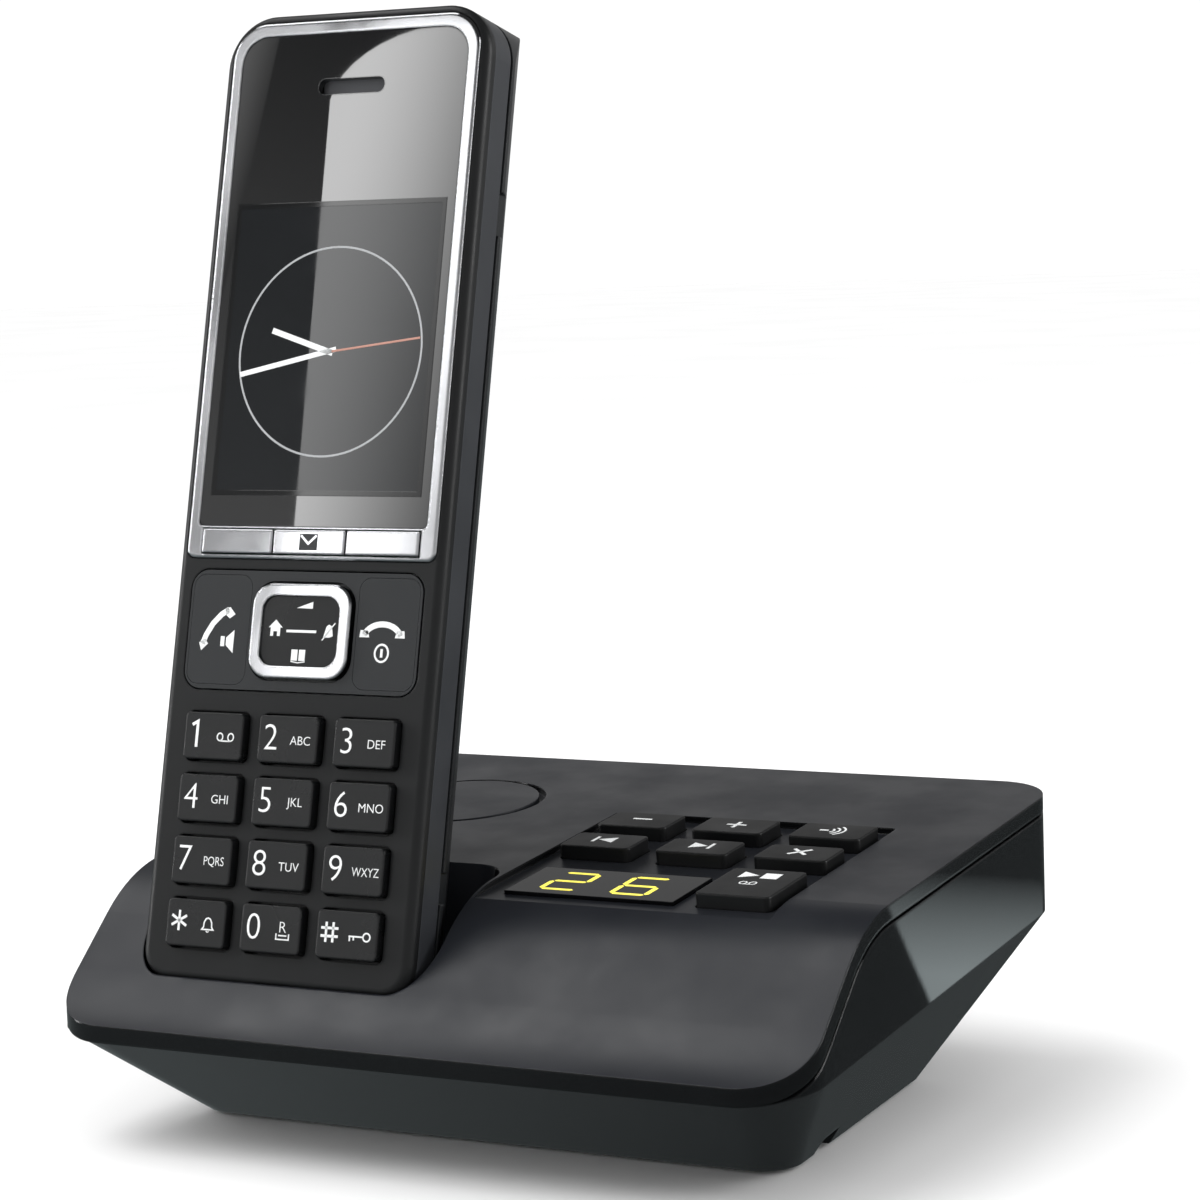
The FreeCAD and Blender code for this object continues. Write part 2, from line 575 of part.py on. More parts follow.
def base_fittings():
    """Speaker, display, keys, their mat and the circuit board, all square to the deck."""
    plate("speaker_cap", DECK, [disc("-cap_x", "cap_y", "cap_radius")], "-cap_thickness", "0")
    driver = plate("loudspeaker", DECK, [disc("-cap_x", "cap_y", "driver_radius")],
                   "-rim_thickness - driver_height", "-rim_thickness")
    pad(driver, TOP, [disc("-cap_x", "cap_y", "driver_radius / 2")], "-rim_thickness - 1.5 * driver_height",
        "-rim_thickness - driver_height / 2")
    glass_top = "-window_sink"
    plate("display_window", DECK, [box("window_x", "-window_y", "window_width", "window_depth")],
          f"{glass_top} - window_thickness", glass_top)
    plate("message_display", DECK, [box("window_x", "-window_y", "window_width - 2 * display_rim",
                                        "window_depth - display_rim")],
          BOARD_TOP, f"{glass_top} - window_thickness")
    for name, x, y, width, depth in deck_keys():
        key = plate(name, DECK, [box(x, y, width, depth, "deck_key_corner")], FLANGE_TOP, "deck_key_rise")
        soften_top(key, "key_edge")
        skirt = box(x, y, f"{width} + {SKIRT}", f"{depth} + {SKIRT}", "deck_key_corner")
        pad(key, TOP, [skirt], f"{FLANGE_TOP} - flange_thickness", FLANGE_TOP)
    extent = ("recess_left", "recess_right", "-board_front", "recess_back - 2 * board_inset")
    mat = plate("base_key_mat", DECK, [square(*extent)], f"{MAT_TOP} - mat_thickness", MAT_TOP)
    gap = box("window_x", "-window_y", "window_width", "window_depth")
    pocket(mat, TOP, [gap], f"{MAT_TOP} - 2 * mat_thickness", "0")
    board = plate("base_circuit_board", DECK, [square(*extent)], f"{BOARD_TOP} - board_thickness", BOARD_TOP)
    clear_boss = [disc(*DECK_SCREW, "2 * boss_radius")]
    pocket(board, TOP, clear_boss, f"{BOARD_TOP} - 3 * board_thickness", "0")
    pocket(mat, TOP, clear_boss, f"{MAT_TOP} - 3 * mat_thickness", "0")


def base_sockets():
    """The power and line sockets in the back wall, each open to the back."""
    mouth = "-base_depth / 2 + socket_inset"
    for name, x in (("power_socket", "power_x"), ("line_socket", "line_x")):
        body = add_body(name, BASE)
        pad(body, FRONT, [box(x, "socket_z", "socket_width", "socket_height")], mouth,
            f"{mouth} + socket_depth")
        pocket(body, FRONT, [box(x, "socket_z", "plug_width", "plug_height")], f"{mouth} - socket_inset",
               f"{mouth} + plug_depth")


def charging_prongs():
    """Two sprung prongs that come up through the floor of the well, and the carrier that guides them."""
    floor = "-(seat_gap + well_wall)"
    outline = box("0", "prong_depth", "2 * (prong_x + carrier_rim)", "3 * prong_thickness")
    carrier = plate_in_cradle("prong_carrier", [outline],
                              f"{floor} - carrier_height", floor)
    pocket(carrier, TOP, prong_outlines("fit_gap"), f"{floor} - 2 * carrier_height", "0")
    for name, x in (("left_charging_prong", "-prong_x"), ("right_charging_prong", "prong_x")):
        plate_in_cradle(name, [box(x, "prong_depth", "prong_width", "prong_thickness")],
                        "-prong_gap - prong_length", "-prong_gap")


def plate_in_cradle(name, outlines, low, high):
    """A piece made along the handset, in the handset's own axes."""
    body = add_body(name, HANDSET)
    pad(body, TOP, outlines, low, high)
    return body


# ---- handset housing -------------------------------------------------------------------------------------

def handset_outline(inset):
    """The handset from the front, drawn in by an inset."""
    half = f"(handset_width / 2 - {inset})"
    return rounded(f"-{half}", half, inset, f"(handset_length - {inset})", f"(bottom_corner - {inset})",
                   f"(top_corner - {inset})")


def number_keys():
    """Name and centre of each key of the number pad."""
    rows = (("key_star", "key_0", "key_hash"), ("key_7", "key_8", "key_9"), ("key_4", "key_5", "key_6"),
            ("key_1", "key_2", "key_3"))
    return [
        (name, f"{column - 1} * column_pitch", f"bottom_row_v + {row} * row_pitch")
        for row, names in enumerate(rows) for column, name in enumerate(names)
    ]


RING = ("0", "panel_v", "ring_width", "ring_height", "ring_corner")
SIDE_KEY = ("panel_v", "side_key_width", "side_key_height", "panel_corner / 1.5")
SIDE_KEYS = (("call_key", "-side_key_x"), ("end_key", "side_key_x"))
SOFT_KEYS = (("left_soft_key", "-soft_pitch"), ("message_key", "0"), ("right_soft_key", "soft_pitch"))
GLASS_V = "(glass_low + glass_high) / 2"


def upright_outline(half, low, high, foot, corner, gap):
    """A tall outline about the handset's middle, with tight corners at its foot, grown by gap."""
    return rounded(f"-({half} + {gap})", f"{half} + {gap}", f"{low} - {gap}", f"{high} + {gap}",
                   f"({foot} + {gap})", f"({corner} + {gap})")


def frame_outline(gap):
    """The chrome frame round the display."""
    return upright_outline("frame_half", "frame_low", "frame_high", "frame_foot", "frame_corner", gap)


def glass_outline(gap):
    """The display's glass."""
    return upright_outline("glass_half", "glass_low", "glass_high", "glass_foot", "glass_corner", gap)


SOFT_ROW = ("0", "soft_v", "2 * soft_pitch + soft_width + 2 * key_gap", "soft_height + 2 * key_gap")


def grown(outline, gap):
    """A rounded box with a gap all round."""
    x, y, width, height, corner = outline
    return box(x, y, f"{width} + 2 * {gap}", f"{height} + 2 * {gap}", f"({corner} + {gap})")


def handset_front_shell():
    """The face of the handset, with every opening in it."""
    body = add_body("handset_front_shell", HANDSET)
    pad(body, FRONT, [handset_outline("0")], "-bezel_depth", "0")
    dress_edges("Fillet", body, lambda edge: abs(edge.CenterOfMass.y) < 0.01, "Radius", "edge_round")
    pad(body, FRONT, [handset_outline("trim_thickness")], "-trim_depth", "-bezel_depth")
    pocket(body, FRONT, [handset_outline("shell_wall")], "-2 * trim_depth", "-face_thickness")
    pocket(body, FRONT, [frame_outline("fit_gap")], "-frame_seat", "frame_seat")
    window = box("0", GLASS_V, "2 * (glass_half - glass_ledge)", "glass_high - glass_low - 2 * glass_ledge",
                 "glass_corner / 2")
    openings = [window, box(*SOFT_ROW)]
    openings += [grown(("0", "panel_v", "panel_width", "panel_height", "panel_corner"), "key_gap")]
    openings += [grown((x, v, "key_width", "key_height", "key_corner"), "number_gap")
                 for _, x, v in number_keys()]
    pocket(body, FRONT, openings, "-2 * face_thickness", "face_thickness")
    pocket(body, FRONT, [box("0", "0", "mic_notch_width", "2 * mic_notch_height")], "-bezel_depth / 2",
           "face_thickness")


def handset_side_trim():
    """The satin band that runs round the handset between its two shells."""
    body = plate("handset_side_trim", HANDSET, [handset_outline("0")], "-trim_depth", "-bezel_depth")
    pocket(body, FRONT, [handset_outline("trim_thickness")], "-2 * trim_depth", "0")


def handset_back_shell():
    """The boat-shaped back of the handset, with the battery bay, the grille and the clip notches."""
    body = add_body("handset_back_shell", HANDSET)
    step = "-(trim_depth + back_groove)"
    pad(body, FRONT, [handset_outline("groove_inset")], step, "-trim_depth")
    pad(body, FRONT, [handset_outline("0")], "-handset_depth", step)
    half = "handset_width / 2"
    land = "trim_depth + back_groove + flank_land"
    for turn in ("", "-"):
        flank = [
            (f"{turn}({half})", land),
            (f"{turn}flat_half", "handset_depth", "flank_round" if turn == "" else "-flank_round"),
            (f"{turn}flat_half", "handset_depth + cut_margin"),
            (f"{turn}({half} + cut_margin)", "handset_depth + cut_margin"),
            (f"{turn}({half} + cut_margin)", land),
        ]
        pocket(body, TOP, [path(flank)], "-cut_margin", "handset_length + cut_margin")
    crown = [
        ("handset_depth - top_round", "handset_length"),
        ("handset_depth", "handset_length - top_round", "-top_round"),
        ("handset_depth + cut_margin", "handset_length - top_round"),
        ("handset_depth + cut_margin", "handset_length + cut_margin"),
        ("handset_depth - top_round", "handset_length + cut_margin"),
    ]
    heel = [
        ("handset_depth - heel_round", "0"), ("handset_depth", "heel_round", "heel_round"),
        ("handset_depth + cut_margin", "heel_round"), ("handset_depth + cut_margin", "-cut_margin"),
        ("handset_depth - heel_round", "-cut_margin"),
    ]
    for outline in (crown, heel):
        pocket(body, SIDE, [path(outline)], "-handset_width", "handset_width")
    pocket(body, FRONT, [handset_outline("shell_wall")], f"-({land} + flank_land)", "0")
    low, high = "heel_round + shell_wall", "(handset_length - top_round - shell_wall)"
    steps = (("cavity_half", "rib_level"), ("(flat_half - shell_wall / 2)", "handset_depth - back_wall"))
    for width, level in steps:
        bay = rounded(f"-{width}", width, low, high, "cover_corner")
        pocket(body, FRONT, [bay], f"-({level})", "0")
    pocket(body, FRONT, [rounded("-cover_half", "cover_half", "cover_low", "cover_high", "cover_corner")],
           "-2 * handset_depth", "0")
    notches = [
        box(f"{turn}handset_width / 2", v, "2 * notch_bite", length)
        for turn in ("", "-")
        for v, length in (("clip_notch_v", "clip_notch_length"), ("heel_notch_v", "heel_notch_length"))
    ]
    pocket(body, FRONT, notches, f"{step} - 3", step)
    slots = [
        box("0", f"rear_speaker_v + {index} * grille_pitch", "grille_length", "grille_width")
        for index in range(-(SIZES["grille_slots"] // 2), SIZES["grille_slots"] // 2 + 1)
    ]
    pocket(body, FRONT, slots, "-2 * handset_depth", "-handset_depth / 2")
    pocket(body, TOP, contact_outlines("fit_gap"), "-1", "contact_thickness + fit_gap")


def contact_outlines(gap):
    """The two charging contacts in the handset's foot, seen along the handset."""
    return [
        box(x, "prong_depth", f"contact_width + 2 * {gap}", f"contact_depth + 2 * {gap}")
        for x in ("prong_x", "-prong_x")
    ]


def battery_cover():
    """The lid over the cells, flush with the flat of the back."""
    sides = ("-cover_half + cover_gap", "cover_half - cover_gap", "cover_low + cover_gap",
             "cover_high - cover_gap")
    plate("battery_cover", HANDSET, [rounded(*sides, "(cover_corner - cover_gap)")], "-handset_depth",
          "-(handset_depth - back_wall)")


# ---- handset fittings ------------------------------------------------------------------------------------

def handset_display():
    """Chrome frame, glass, colour screen and the receiver behind the slot in the glass."""
    frame = plate("display_frame", HANDSET, [frame_outline("0")], "-frame_seat", "frame_rise")
    soften_top(frame, "frame_edge")
    pocket(frame, FRONT, [glass_outline("fit_gap"), box(*SOFT_ROW)], "-2 * frame_seat", "frame_seat")
    glass = plate("display_glass", HANDSET, [glass_outline("0")], "-frame_seat", "glass_rise")
    pocket(glass, FRONT, [box("0", "slot_v", "slot_length", "slot_height", "slot_height / 2.1")],
           "-2 * frame_seat", "frame_seat")
    plate("colour_screen", HANDSET, [box("0", "lcd_v", "lcd_width", "lcd_height")], "-frame_seat - lcd_seat",
          "-frame_seat")
    plate("earpiece_receiver", HANDSET, [disc("0", "slot_v", "receiver_radius")], "-frame_seat - lcd_seat",
          "-frame_seat")


KEY_BACK = "-(face_thickness + fit_gap)"
PAD_MAT_TOP = "-(face_thickness + flange_thickness + key_stroke + 2 * fit_gap)"


def handset_keys():
    """Soft keys, call and end keys and the number pad, each with a flange that keeps it in."""
    for name, x in SOFT_KEYS:
        key = plate(name, HANDSET, [box(x, "soft_v", "soft_width", "soft_height")], KEY_BACK, "soft_rise")
        soften_top(key, "key_edge")
    for name, x in SIDE_KEYS:
        plate(name, HANDSET, [box(x, *SIDE_KEY)], KEY_BACK, "side_key_rise")
    for name, x, v in number_keys():
        key = plate(name, HANDSET, [box(x, v, "key_width", "key_height", "key_corner")], KEY_BACK,
                    "key_rise")
        soften_top(key, "key_edge")
        skirt = box(x, v, f"key_width + {SKIRT}", f"key_height + {SKIRT}", "key_corner")
        pad(key, FRONT, [skirt], f"{KEY_BACK} - flange_thickness", KEY_BACK)


def navigation_key():
    """A fixed panel with a chrome ring that rocks both ways on a hidden pivot."""
    outline = box("0", "panel_v", "panel_width", "panel_height", "panel_corner")
    panel = plate("function_panel", HANDSET, [outline],
                  "-face_thickness", "panel_rise")
    openings = [grown(RING, "nav_gap")]
    openings += [grown((x, *SIDE_KEY), "side_gap") for _, x in SIDE_KEYS]
    pocket(panel, FRONT, openings, "-2 * face_thickness", "face_thickness")
    ring = plate("navigation_ring", HANDSET, [box(*RING)], "-face_thickness", "ring_rise")
    soften_top(ring, "ring_edge")
    inner = ("0", "panel_v", "ring_width - 2 * ring_band", "ring_height - 2 * ring_band",
             "(ring_corner - ring_band / 2)")
    pocket(ring, FRONT, [box(*inner)], "-2 * face_thickness", "2 * ring_rise")
    plate("navigation_pad", HANDSET, [box(*inner)], "-face_thickness", "pad_rise")
    plate("navigation_pivot", HANDSET, [disc("0", "panel_v", "pivot_radius")], f"{PAD_MAT_TOP} + rock_gap",
          "-face_thickness - rock_gap")


def handset_insides():
    """Mat, circuit board, cells, microphone, rear speaker and charging contacts."""
    plate("keypad_mat", HANDSET, [square("-handset_width / 2 + board_margin",
                                         "handset_width / 2 - board_margin",
                                         "board_margin + shell_wall", "frame_low - 1")],
          f"{PAD_MAT_TOP} - mat_thickness", PAD_MAT_TOP)
    board_top = f"{PAD_MAT_TOP} - mat_thickness"
    plate("handset_circuit_board", HANDSET,
          [rounded("-handset_width / 2 + board_margin", "handset_width / 2 - board_margin",
                   "board_margin + shell_wall", "(handset_length - top_corner)", "cover_corner")],
          f"{board_top} - board_thickness", board_top)
    plate("microphone", HANDSET, [disc("0", "mic_v", "mic_radius")], PAD_MAT_TOP, "-face_thickness")
    cells = add_body("battery_cells", HANDSET)
    depth = "handset_depth - back_wall - cell_radius - fit_gap"
    pad(cells, TOP, [disc(f"{turn}cell_pitch / 2", depth, "cell_radius") for turn in ("", "-")], "cell_low",
        "cell_low + cell_length")
    ends = add_body("battery_contacts", HANDSET)
    for level in ("cell_low - cell_clearance - contact_thickness",
                  "cell_low + cell_length + cell_clearance"):
        tabs = [box(f"{turn}cell_pitch / 2", depth, "cell_radius", "cell_radius") for turn in ("", "-")]
        pad(ends, TOP, tabs, level, f"{level} + contact_thickness")
    speaker = plate("rear_speaker", HANDSET, [disc("0", "rear_speaker_v", "rear_speaker_radius")],
                    "-(handset_depth - back_wall)", "-(handset_depth - back_wall) + rear_speaker_height")
    pad(speaker, FRONT, [disc("0", "rear_speaker_v", "rear_speaker_radius / 2")],
        "-(handset_depth - back_wall) + rear_speaker_height / 2",
        "-(handset_depth - back_wall) + 1.5 * rear_speaker_height")
    contacts = add_body("charging_contacts", HANDSET)
    pad(contacts, TOP, contact_outlines("0"), "0", "contact_thickness")


# ---- building, checking and writing ----------------------------------------------------------------------

def check_document():
    """Stop if any object failed, any pocket cut nothing or any piece isn't a good solid."""
    for item in DOC.Objects:
        if "Invalid" in item.State or "Error" in item.State:
            raise RuntimeError(f"{item.Label}: {item.State}")
        if item.TypeId == "PartDesign::Pocket" and item.Shape.Volume >= item.BaseFeature.Shape.Volume - 1e-6:
            raise RuntimeError(f"{item.Label}: the pocket cuts nothing")
    for piece in PIECES:
        if piece.Shape.isNull() or not piece.Shape.isValid() or not piece.Shape.Solids:
            raise RuntimeError(f"{piece.Label}: no valid solid")


def write_steps():
    """One file for each piece, named after it."""
    os.makedirs("parts", exist_ok=True)
    for piece in PIECES:
        piece.Shape.exportStep(os.path.join("parts", f"{piece.Label}.step"))


base_bottom_shell()
base_top_shell()
base_feet()
base_screws()
base_fittings()
base_sockets()
charging_prongs()
handset_front_shell()
handset_side_trim()
handset_back_shell()
battery_cover()
handset_display()
handset_keys()
navigation_key()
handset_insides()
DOC.recompute()
check_document()
write_steps()
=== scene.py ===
"""Looks of the cordless telephone: materials, printed signs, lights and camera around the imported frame."""

import json
import math

import bmesh
import bpy
from mathutils import Matrix, Vector


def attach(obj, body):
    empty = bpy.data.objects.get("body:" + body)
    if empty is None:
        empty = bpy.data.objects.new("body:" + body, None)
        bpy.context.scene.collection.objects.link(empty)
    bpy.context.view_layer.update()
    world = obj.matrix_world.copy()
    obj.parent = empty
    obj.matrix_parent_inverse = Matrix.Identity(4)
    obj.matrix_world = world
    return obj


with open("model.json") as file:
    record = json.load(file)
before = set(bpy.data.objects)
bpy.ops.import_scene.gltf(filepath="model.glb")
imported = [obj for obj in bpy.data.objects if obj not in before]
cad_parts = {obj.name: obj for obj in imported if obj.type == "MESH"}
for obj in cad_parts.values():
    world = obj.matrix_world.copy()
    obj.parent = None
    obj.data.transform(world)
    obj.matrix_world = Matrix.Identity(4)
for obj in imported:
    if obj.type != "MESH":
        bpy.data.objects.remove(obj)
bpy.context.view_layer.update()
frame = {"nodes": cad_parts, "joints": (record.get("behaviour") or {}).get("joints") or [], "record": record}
NODES = frame["nodes"]
PRESS = {joint["name"]: Vector(joint["axis"]).normalized() for joint in frame["joints"]}
MM = 0.001


# ---- local axes ------------------------------------------------------------------------------------------

class Plane:
    """Axes on a tilted surface: u to the right, v up or back along it, w out of it."""

    def __init__(self, joint):
        self.w = -PRESS[joint]
        self.u = Vector((1, 0, 0))
        self.v = self.w.cross(self.u)

    def reach(self, node):
        """Lowest and highest (u, v, w) of a node, in millimetres."""
        spots = [[point.co.dot(axis) / MM for axis in (self.u, self.v, self.w)]
                 for point in NODES[node].data.vertices]
        return [min(column) for column in zip(*spots)], [max(column) for column in zip(*spots)]

    def place(self, u, v, w):
        """The point of the row frame, in metres, that has these millimetres."""
        return (self.u * u + self.v * v + self.w * w) * MM


HAND = Plane("key_5_press")
DECK = Plane("plus_key_press")
FACE_LOW, FACE_HIGH = HAND.reach("handset_front_shell")
FACE_U = (FACE_LOW[0] + FACE_HIGH[0]) / 2
FACE_V = FACE_LOW[1]


# ---- materials -------------------------------------------------------------------------------------------

def screen(red, green, blue):
    """A linear colour from screen values between 0 and 255."""
    def one(value):
        part = value / 255
        return part / 12.92 if part <= 0.04045 else ((part + 0.055) / 1.055) ** 2.4
    return one(red), one(green), one(blue), 1.0


class Nodes:
    """Short ways to add and join the nodes of one material."""

    def __init__(self, name):
        self.material = bpy.data.materials.new(name)
        self.material.use_nodes = True
        self.tree = self.material.node_tree
        self.shader = self.tree.nodes["Principled BSDF"]

    def add(self, kind, inputs=(), **settings):
        """A node with some settings and input values or links."""
        node = self.tree.nodes.new(f"ShaderNode{kind}")
        for name, value in settings.items():
            setattr(node, name, value)
        for socket, value in dict(inputs).items():
            if isinstance(value, bpy.types.NodeSocket):
                self.tree.links.new(value, node.inputs[socket])
            else:
                node.inputs[socket].default_value = value
        return node

    def wire(self, output, socket):
        """Feed the shader."""
        self.tree.links.new(output, self.shader.inputs[socket])

    def noise(self, size, detail=2.0, stretch=(1, 1, 1)):
        """Noise whose features are about size millimetres across."""
        place = self.add("TexCoord").outputs["Object"]
        scaled = self.add("Mapping", {"Vector": place, "Scale": stretch})
        made = self.add("TexNoise", {"Vector": scaled.outputs["Vector"], "Scale": 1 / (size * MM),
                                     "Detail": detail, "Roughness": 0.55})
        return made.outputs["Fac"]

    def span(self, value, low, high, start=0.35, end=0.65):
        """The value's middle stretch brought to run from low to high."""
        made = self.add("MapRange", {"Value": value, "From Min": start, "From Max": end, "To Min": low,
                                     "To Max": high})
        return made.outputs["Result"]

    def maths(self, kind, *values):
        """The result of one Math node."""
        return self.add("Math", dict(enumerate(values)), operation=kind).outputs["Value"]

    def blend(self, share, first, second):
        """A mix of two colours."""
        made = self.add("Mix", {"Factor": share, "A": first, "B": second}, data_type="RGBA")
        for socket, value in (("Factor_Float", share), ("A_Color", first), ("B_Color", second)):
            target = next(item for item in made.inputs if item.identifier == socket)
            if isinstance(value, bpy.types.NodeSocket):
                self.tree.links.new(value, target)
            else:
                target.default_value = value
        return next(item for item in made.outputs if item.identifier == "Result_Color")


def shade(colour, factor):
    """The colour made lighter or darker."""
    return tuple(min(part * factor, 1.0) for part in colour[:3]) + (1.0,)


WEAR_PATCH, WORN_SHADE = 1.5, 2.2      # size in mm of the patches of wear, and how much lighter they are


def surface(name, colour, roughness, spread=0.05, grain=0.35, depth=0.004, mottle=0.08, patch=14.0,
            wear=0.5, edge=0.25, metallic=0.0, specular=0.5, coat=0.0, coat_roughness=0.04,
            stretch=(1, 1, 1)):
    """A moulded, coated or metal surface: fine grain, broad unevenness, softened and slightly worn edges.

    Sizes are in millimetres. Spread is how far the roughness strays, mottle how far the colour does.
    """
    made = Nodes(name)
    fine = made.noise(grain, 3.0, stretch)
    broad = made.noise(patch, 4.0)
    soft = made.add("Bevel", {"Radius": edge * MM}, samples=4)
    bump = made.add("Bump", {"Strength": 1.0, "Distance": depth * MM, "Height": fine,
                             "Normal": soft.outputs["Normal"]})
    made.wire(bump.outputs["Normal"], "Normal")
    plain = made.add("NewGeometry").outputs["Normal"]
    turned = made.add("VectorMath", {0: soft.outputs["Normal"], 1: plain}, operation="DOT_PRODUCT")
    rim = made.span(turned.outputs["Value"], wear, 0.0, 0.80, 0.99)
    worn = made.maths("MULTIPLY", rim, made.span(made.noise(WEAR_PATCH), 0.0, 1.0))
    toned = made.blend(made.span(broad, 0.0, 1.0), shade(colour, 1 - mottle), shade(colour, 1 + mottle))
    made.wire(made.blend(worn, toned, shade(colour, WORN_SHADE)), "Base Color")
    made.wire(made.span(broad, roughness - spread, roughness + spread), "Roughness")
    shader = made.shader.inputs
    shader["Metallic"].default_value = metallic
    shader["Specular IOR Level"].default_value = specular
    shader["Coat Weight"].default_value = coat
    shader["Coat Roughness"].default_value = coat_roughness
    return made.material


def board(name):
    """A circuit board: green mask with copper paths that shimmer through it."""
    made = Nodes(name)
    place = made.add("TexCoord").outputs["Object"]
    paths = made.add("TexVoronoi", {"Vector": place, "Scale": 420.0}, distance="MANHATTAN")
    edge = made.span(paths.outputs["Distance"], 1.0, 0.0, 0.30, 0.38)
    made.wire(made.blend(edge, screen(20, 78, 46), screen(58, 120, 70)), "Base Color")
    made.wire(made.span(made.noise(3.0), 0.3, 0.45), "Roughness")
    bump = made.add("Bump", {"Strength": 0.6, "Distance": 0.03 * MM, "Height": edge})
    made.wire(bump.outputs["Normal"], "Normal")
    return made.material


def lamp_colour(name, colour, strength):
    """A lit segment: a glowing core that thins towards its grainy diffuser."""
    made = Nodes(name)
    glow = made.blend(made.span(made.noise(0.6), 0.0, 1.0), shade(colour, 0.85), colour)
    made.wire(glow, "Base Color")
    made.wire(glow, "Emission Color")
    made.shader.inputs["Emission Strength"].default_value = strength
    made.wire(made.span(made.noise(0.4), 0.35, 0.5), "Roughness")
    return made.material


FINISHES = {
    "base_satin": surface("base_satin", screen(30, 32, 37), 0.36, grain=0.30, depth=0.006, edge=0.35),
    "base_gloss": surface("base_gloss", screen(13, 14, 15), 0.03, spread=0.01, grain=5.0, depth=0.002,
                          mottle=0.15, patch=22.0, wear=0.15, edge=0.5),
    "rubber": surface("rubber", screen(34, 34, 35), 0.80, grain=0.5, depth=0.03, wear=0.2),
    "screw_steel": surface("screw_steel", screen(150, 150, 154), 0.32, metallic=1.0, grain=0.2,
                           stretch=(1, 8, 1)),
    "circuit": board("circuit"),
    "silicone": surface("silicone", screen(176, 178, 180), 0.55, grain=0.6, depth=0.01),
    "speaker_metal": surface("speaker_metal", screen(96, 97, 100), 0.42, metallic=0.7, grain=0.4),
    "display_window": surface("display_window", screen(5, 5, 7), 0.06, spread=0.02, grain=4.0, depth=0.002,
                              wear=0.1, specular=0.15),
    "display_module": surface("display_module", screen(40, 42, 44), 0.5, grain=0.5),
    "deck_key": surface("deck_key", screen(14, 15, 16), 0.40, grain=0.28, depth=0.005, edge=0.3),
    "socket": surface("socket", screen(24, 24, 26), 0.5, grain=0.4),
    "prong": surface("prong", screen(214, 188, 128), 0.22, metallic=1.0, grain=0.3, stretch=(6, 1, 1)),
    "handset_satin": surface("handset_satin", screen(24, 25, 26), 0.42, grain=0.26, depth=0.005, edge=0.4,
                             specular=0.4),
    "trim_satin": surface("trim_satin", screen(58, 60, 64), 0.38, grain=0.3, depth=0.004, edge=0.3,
                          metallic=0.3),
    "back_satin": surface("back_satin", screen(27, 29, 31), 0.36, grain=0.3, depth=0.006, edge=0.4),
    "chrome": surface("chrome", screen(222, 223, 226), 0.09, spread=0.03, metallic=1.0, grain=3.0,
                      depth=0.001, mottle=0.03, wear=0.0, edge=0.5),
    "screen_glass": surface("screen_glass", screen(10, 11, 12), 0.012, spread=0.008, grain=9.0, depth=0.0002,
                            mottle=0.10, patch=30.0, wear=0.05, specular=1.0, coat=1.0,
                            coat_roughness=0.006),
    "screen": surface("screen", screen(38, 40, 42), 0.3, grain=0.3),
    "key_satin": surface("key_satin", screen(22, 23, 24), 0.30, grain=0.24, depth=0.004, edge=0.35),
    "panel_gloss": surface("panel_gloss", screen(36, 38, 40), 0.34, grain=0.26, depth=0.004, edge=0.05),
    "cell": surface("cell", screen(60, 110, 150), 0.35, grain=0.5, patch=6.0),
    "battery_spring": surface("battery_spring", screen(190, 190, 192), 0.25, metallic=1.0, grain=0.3),
}
SLOT_OF = {node: material["slot"] for material in frame["record"]["materials"]
           for node in material.get("nodes", [])}
WHITE = surface("white_print", screen(238, 240, 240), 0.5, grain=0.15, depth=0.004, mottle=0.03, wear=0.0)
DARK = surface("dark_print", screen(52, 53, 55), 0.5, grain=0.15, depth=0.004, wear=0.0)
FILM = surface("screen_film", screen(22, 24, 26), 0.015, spread=0.01, grain=9.0, depth=0.0002, wear=0.0,
               specular=0.5)
BORDER = surface("screen_border", screen(12, 13, 14), 0.03, spread=0.01, grain=3.0, depth=0.0005, wear=0.0,
                 specular=0.6)
CLOCK = surface("clock_print", screen(172, 174, 176), 0.30, grain=0.4, depth=0.001, mottle=0.04, wear=0.0)
ROSE = surface("clock_rose", screen(188, 138, 124), 0.30, grain=0.4, depth=0.001, mottle=0.04, wear=0.0)
SEGMENT = lamp_colour("message_digit", screen(236, 222, 84), 0.85)

for name, node in NODES.items():
    slot_name = SLOT_OF.get(name)
    if slot_name is None:
        slot_name = node.data.materials[0].name.split(".")[0]
    node.data.materials.clear()
    node.data.materials.append(FINISHES[slot_name])
    for face in node.data.polygons:
        face.material_index = 0

# The upright faces of the base's top, its rim and the well, are polished like the tub below them.
TOP_SHELL = NODES["base_top_shell"].data
TOP_SHELL.materials.append(FINISHES["base_gloss"])
for face in TOP_SHELL.polygons:
    if face.normal.z < 0.2:
        face.material_index = 1


# ---- flat printing ---------------------------------------------------------------------------------------

CAPITAL = 0.729          # height of the built-in font's capitals at size 1


